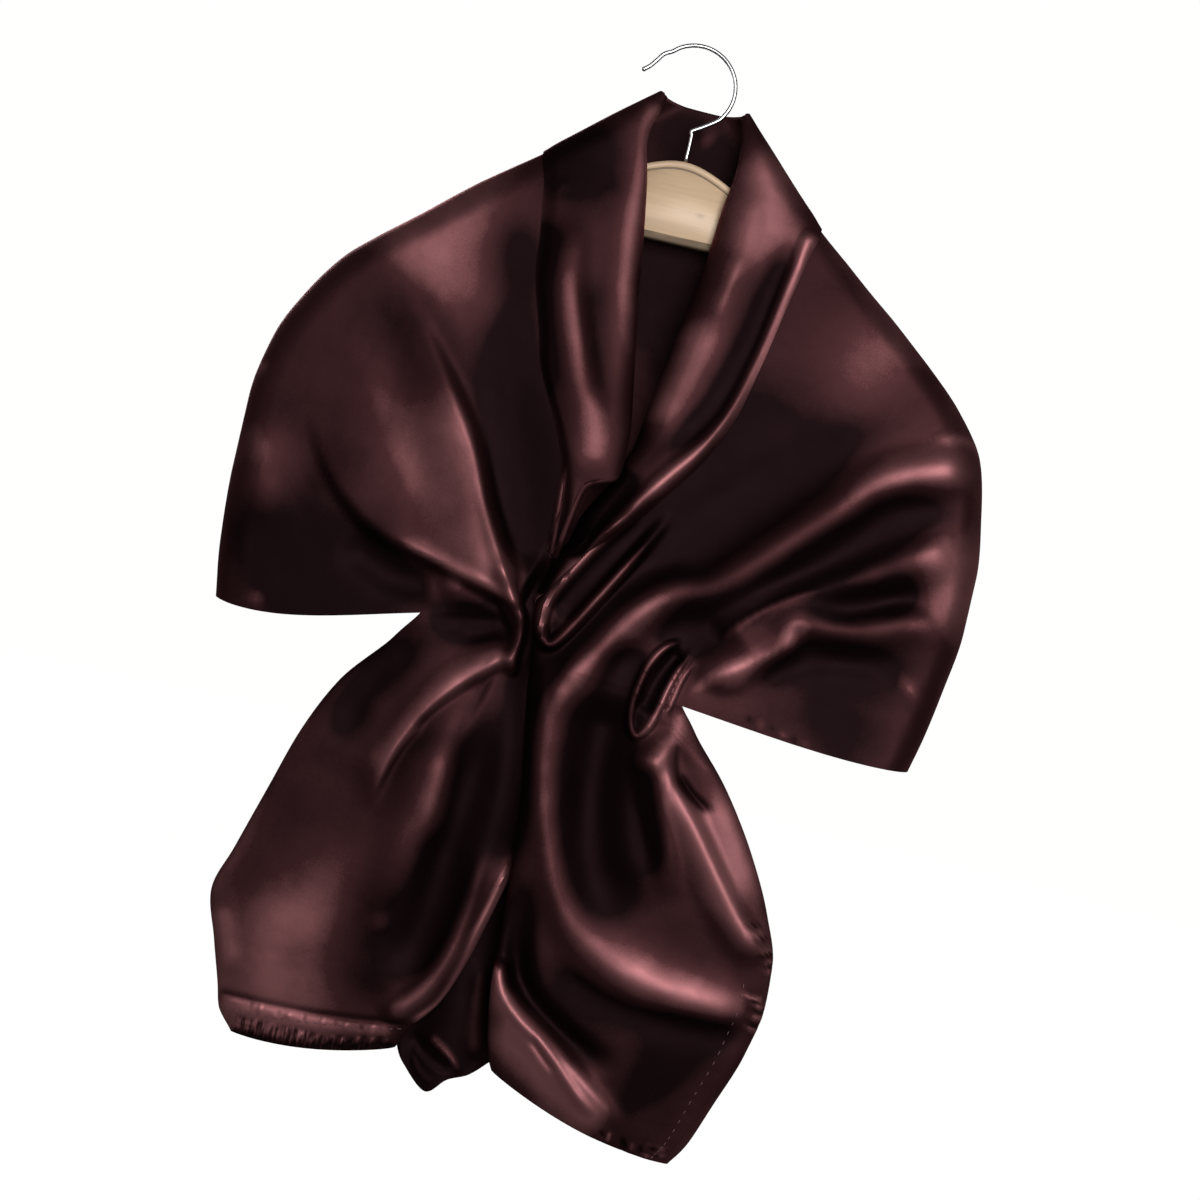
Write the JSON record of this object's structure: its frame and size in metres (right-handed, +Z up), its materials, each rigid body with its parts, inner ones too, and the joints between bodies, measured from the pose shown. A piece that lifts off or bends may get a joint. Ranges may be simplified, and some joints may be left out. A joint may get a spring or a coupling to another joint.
{
  "type": "evening shawl on a wooden clothes hanger",
  "caption": "Draped satin shawl with a turned-back collar, gathered at the waist into flared ends, hung on a wooden clothes hanger with a wire hook.",
  "frame": {"origin": "top of the hook's inside, where a rail or a wall hook carries it", "axes": "+Z up; -Y is the front of the shawl; +X is to the right in a view from the front"},
  "size_m": [0.5122, 0.0883, 0.7473],
  "materials": {
    "satin": "soft dark plum satin with a dusty pink sheen on its crests",
    "wood": "pale, smooth, clear lacquer",
    "steel": "bright polished wire"
  },
  "bodies": {
    "root": {"back_panel": "satin", "left_front": "satin", "right_front": "satin", "left_end": "satin", "right_end": "satin", "left_collar": "satin", "right_collar": "satin", "back_collar": "satin", "left_end_hem": "satin", "right_end_hem": "satin", "tail": "satin", "hanger_bar": "wood", "hook": "steel"}
  },
  "joints": []
}
